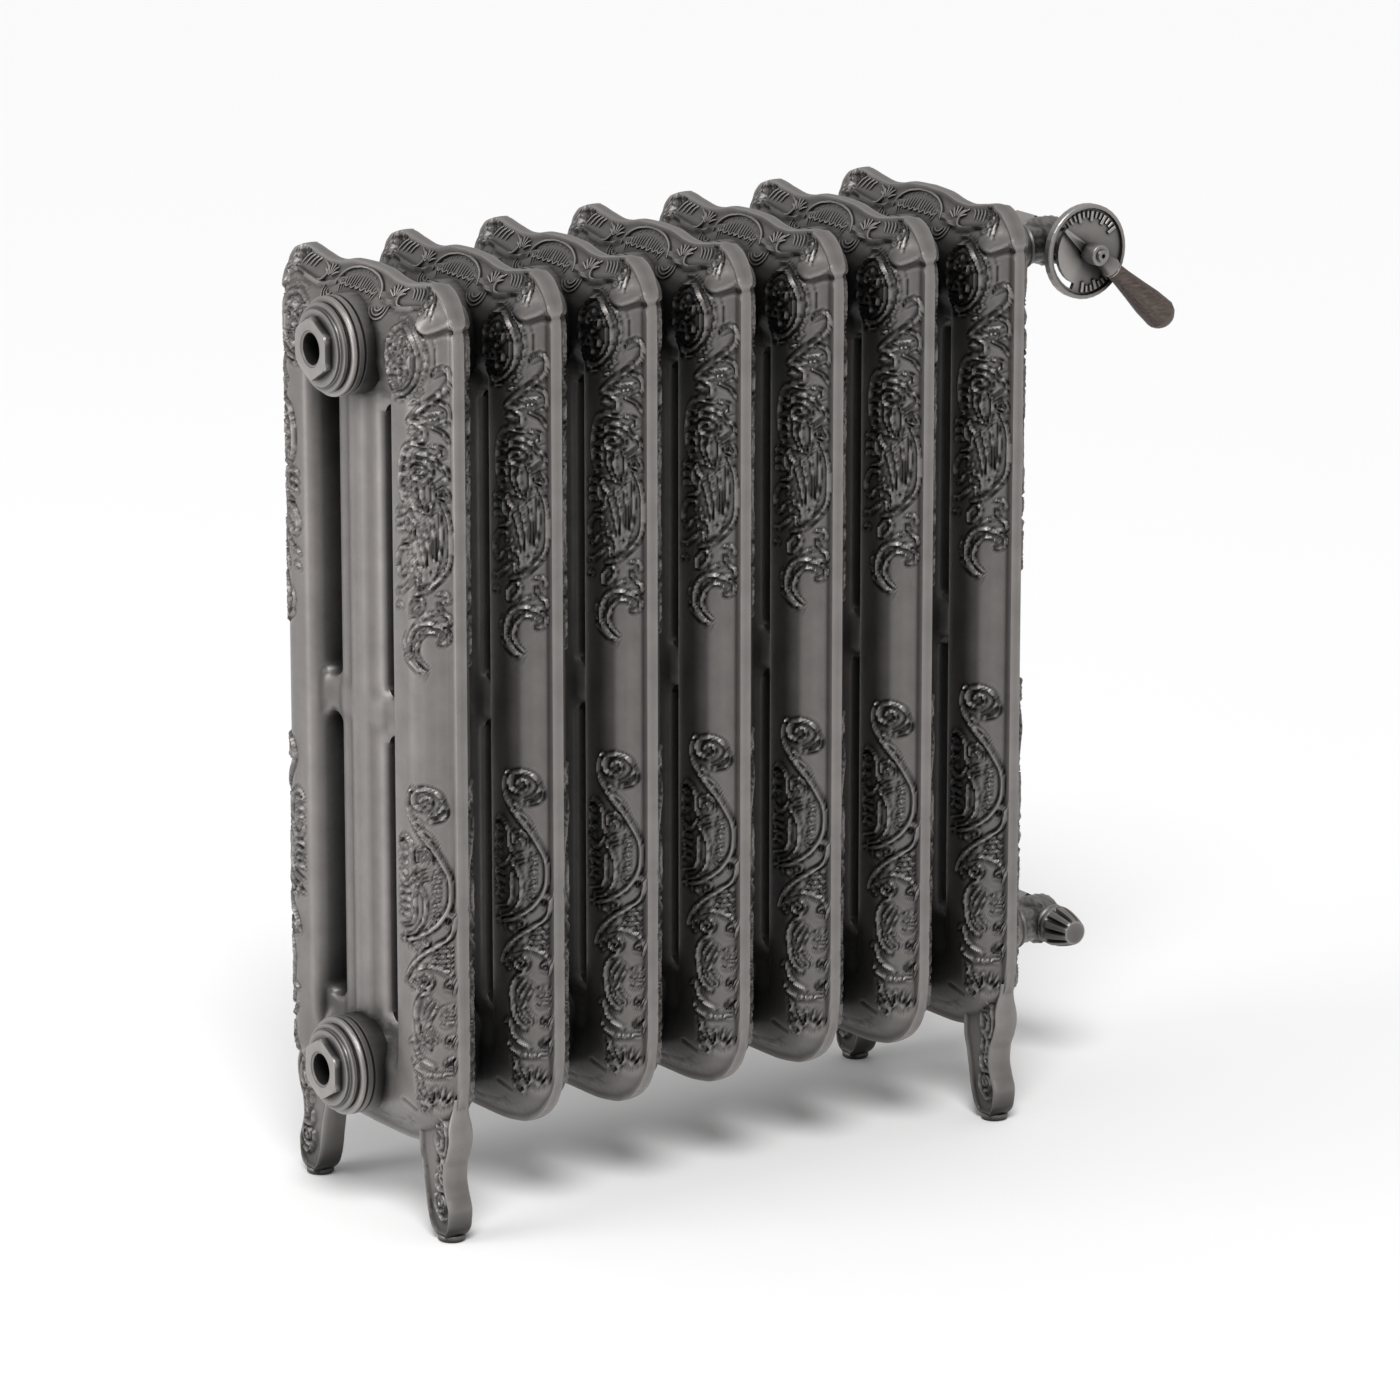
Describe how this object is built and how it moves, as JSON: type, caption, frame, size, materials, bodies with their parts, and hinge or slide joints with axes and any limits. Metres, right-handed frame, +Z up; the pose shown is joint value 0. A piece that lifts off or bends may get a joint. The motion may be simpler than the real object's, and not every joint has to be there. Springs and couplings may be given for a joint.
{
  "type": "radiator with valve",
  "caption": "Ornamental cast-iron column radiator on legs, with a dial and lever throttle valve, a lockshield valve with a fluted cap, and open bushes at one end",
  "frame": {"origin": "centre of the bottom of the whole part's bounding box, on the floor under the row", "axes": "+X along the row from the open bushes to the valves, +Y from the room to the wall, +Z up; the dial and the lever face -Y"},
  "size_m": [0.6786, 0.208, 0.6595],
  "materials": {
    "cast_iron_paint": "satin gunmetal paint on cast iron",
    "bush_iron": "satin gunmetal paint, smoother",
    "nipple_iron": "bare malleable iron",
    "gasket_fibre": "matt",
    "valve_brass_dark": "dark pewter plating",
    "bare_brass": "machined",
    "seal_rubber": "matt",
    "grip_wood": "dark oiled wood",
    "screw_steel": "darkened"
  },
  "bodies": {
    "radiator": {"section_1": "cast_iron_paint", "section_2": "cast_iron_paint", "section_3": "cast_iron_paint", "section_4": "cast_iron_paint", "section_5": "cast_iron_paint", "section_6": "cast_iron_paint", "section_7": "cast_iron_paint", "nipple_top_1": "nipple_iron", "nipple_top_2": "nipple_iron", "nipple_top_3": "nipple_iron", "nipple_top_4": "nipple_iron", "nipple_top_5": "nipple_iron", "nipple_top_6": "nipple_iron", "nipple_bottom_1": "nipple_iron", "nipple_bottom_2": "nipple_iron", "nipple_bottom_3": "nipple_iron", "nipple_bottom_4": "nipple_iron", "nipple_bottom_5": "nipple_iron", "nipple_bottom_6": "nipple_iron", "gasket_top_1": "gasket_fibre", "gasket_top_2": "gasket_fibre", "gasket_top_3": "gasket_fibre", "gasket_top_4": "gasket_fibre", "gasket_top_5": "gasket_fibre", "gasket_top_6": "gasket_fibre", "gasket_bottom_1": "gasket_fibre", "gasket_bottom_2": "gasket_fibre", "gasket_bottom_3": "gasket_fibre", "gasket_bottom_4": "gasket_fibre", "gasket_bottom_5": "gasket_fibre", "gasket_bottom_6": "gasket_fibre", "bush_near_top": "bush_iron", "bush_near_bottom": "bush_iron", "bush_far_top": "bush_iron", "bush_far_bottom": "bush_iron", "bush_gasket_near_top": "gasket_fibre", "bush_gasket_near_bottom": "gasket_fibre", "bush_gasket_far_top": "gasket_fibre", "bush_gasket_far_bottom": "gasket_fibre", "throttle_tailpiece": "valve_brass_dark", "throttle_union_nut": "valve_brass_dark", "throttle_body": "valve_brass_dark", "throttle_inlet_nut": "valve_brass_dark", "throttle_bonnet": "valve_brass_dark", "throttle_gland_nut": "valve_brass_dark", "dial_plate": "valve_brass_dark", "lockshield_tailpiece": "valve_brass_dark", "lockshield_union_nut": "valve_brass_dark", "lockshield_body": "valve_brass_dark", "lockshield_inlet_nut": "valve_brass_dark", "lockshield_bonnet": "valve_brass_dark"},
    "throttle_lever": {"lever_arm": "valve_brass_dark", "lever_ferrule": "bare_brass", "lever_grip": "grip_wood", "lever_screw": "screw_steel", "throttle_spindle": "bare_brass"},
    "lockshield_cap_body": {"lockshield_cap": "valve_brass_dark"},
    "lockshield_spindle_body": {"lockshield_spindle": "bare_brass"},
    "lockshield_plug_body": {"lockshield_plug": "seal_rubber"}
  },
  "joints": [
    {"name": "lever_turn", "type": "hinge", "parent": "radiator", "child": "throttle_lever", "pos_m": [0.27228, -0.0525, 0.6066], "axis": [0, -1, 0], "range_deg": [-6, 102]},
    {"name": "cap_pull", "type": "slide", "parent": "radiator", "child": "lockshield_cap_body", "axis": [0, -1, 0], "range_m": [0, 0.035]},
    {"name": "lockshield_turn", "type": "hinge", "parent": "radiator", "child": "lockshield_spindle_body", "pos_m": [0.27228, -0.015, 0.1066], "axis": [0, 1, 0], "range_deg": [0, 1080]},
    {"name": "plug_travel", "type": "slide", "parent": "radiator", "child": "lockshield_plug_body", "axis": [0, 1, 0], "range_m": [0, 0.006]}
  ],
  "couplings": [
    {"joint": "plug_travel", "follows": "lockshield_turn", "m_per_rad": 0.00031831}
  ]
}
